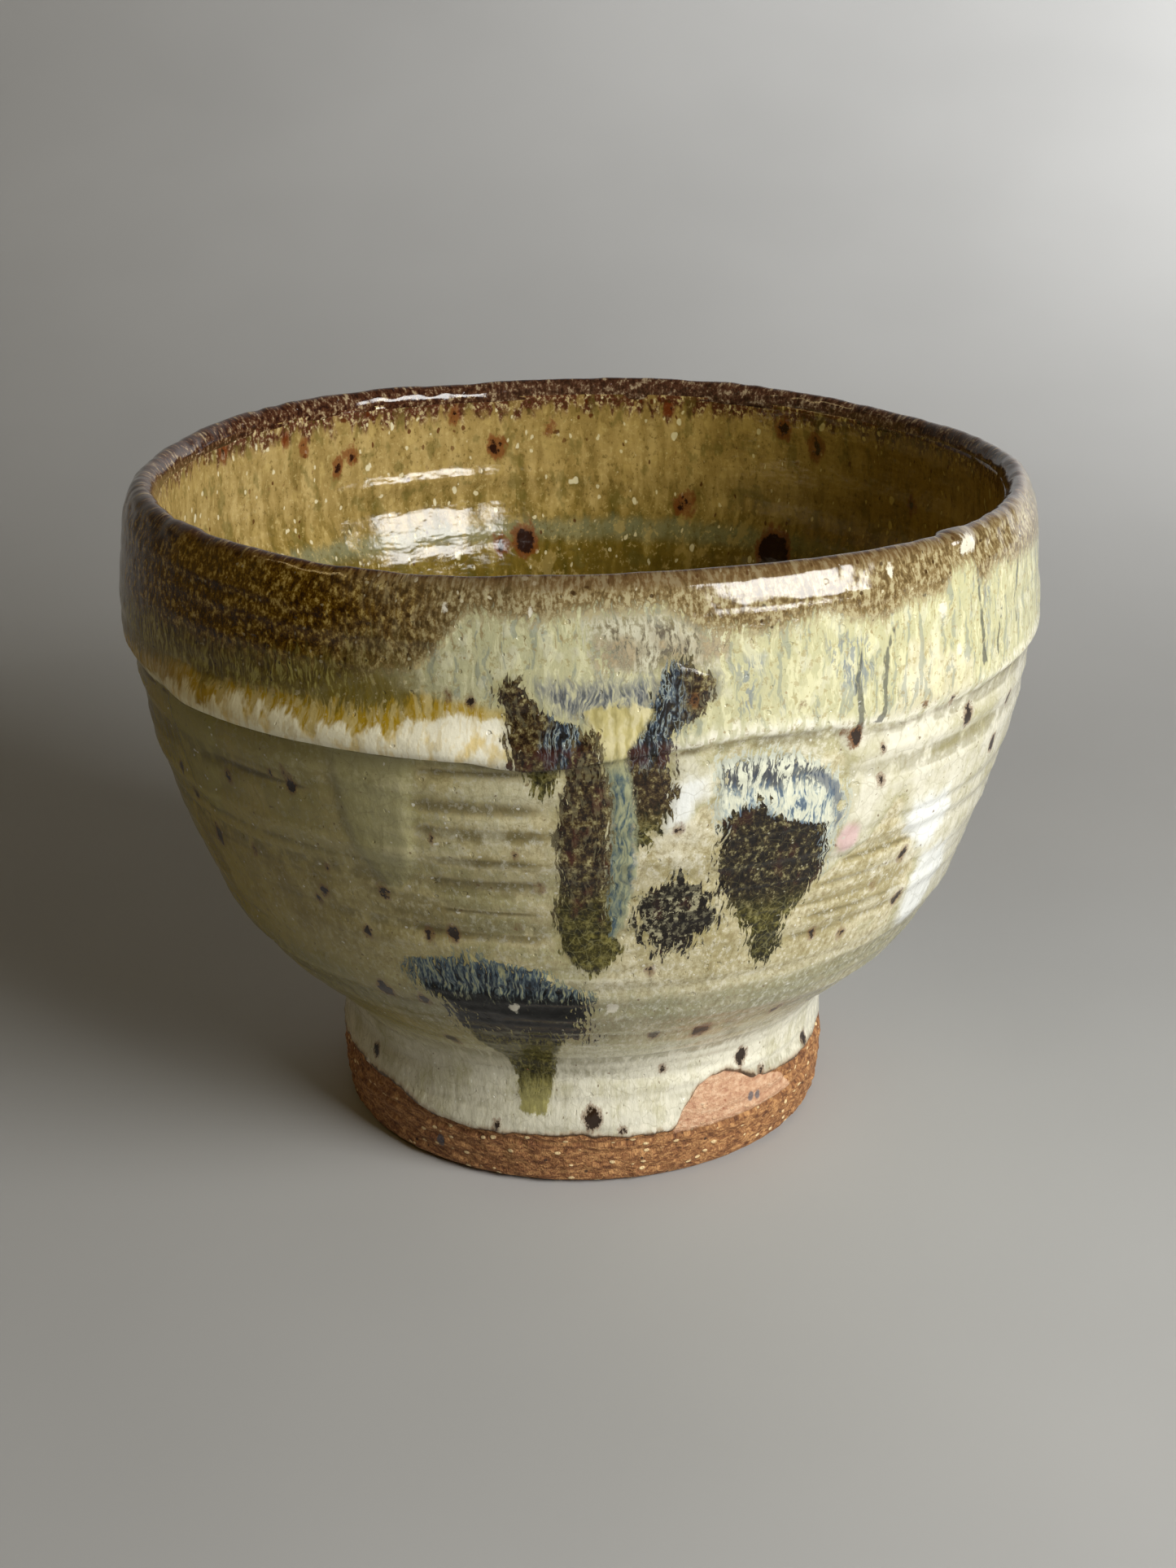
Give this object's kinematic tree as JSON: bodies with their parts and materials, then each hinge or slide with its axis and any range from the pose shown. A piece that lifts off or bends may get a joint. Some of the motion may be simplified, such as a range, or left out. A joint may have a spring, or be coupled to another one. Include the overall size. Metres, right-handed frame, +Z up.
{
  "type": "matcha bowl",
  "caption": "Footed stoneware tea bowl for whisking matcha, with poured glazes inside and out, a dark glazed lip band and brushed iron marks.",
  "frame": {"origin": "middle of the foot's flat underside, on the surface that the bowl stands on", "axes": "+Z up along the bowl's axis; -Y faces the viewer, with the brushed marks; +X to the viewer's right"},
  "size_m": [0.1182, 0.1186, 0.0869],
  "materials": {
    "bowl_clay": "coarse grogged red-brown stoneware, under the glazes",
    "foot_clay": "bare coarse grogged red-brown stoneware, matt",
    "amber_glaze": "glossy amber and olive ash glaze, streaked and speckled",
    "pale_glaze": "semi-gloss pale straw ash glaze with iron specks",
    "iron_glaze": "glossy dark amber-brown iron glaze, finely streaked",
    "iron_mark": "dark purplish brown iron brushwork running to crackled olive",
    "slate_mark": "slate-grey iron brushwork with blue fringes"
  },
  "bodies": {
    "root": {"bowl_body": "bowl_clay", "foot_ring": "foot_clay", "inner_glaze": "amber_glaze", "outer_glaze": "pale_glaze", "rim_glaze": "iron_glaze", "centre_mark": "iron_mark", "right_mark": "iron_mark", "small_mark": "iron_mark", "low_mark": "slate_mark"}
  },
  "joints": []
}
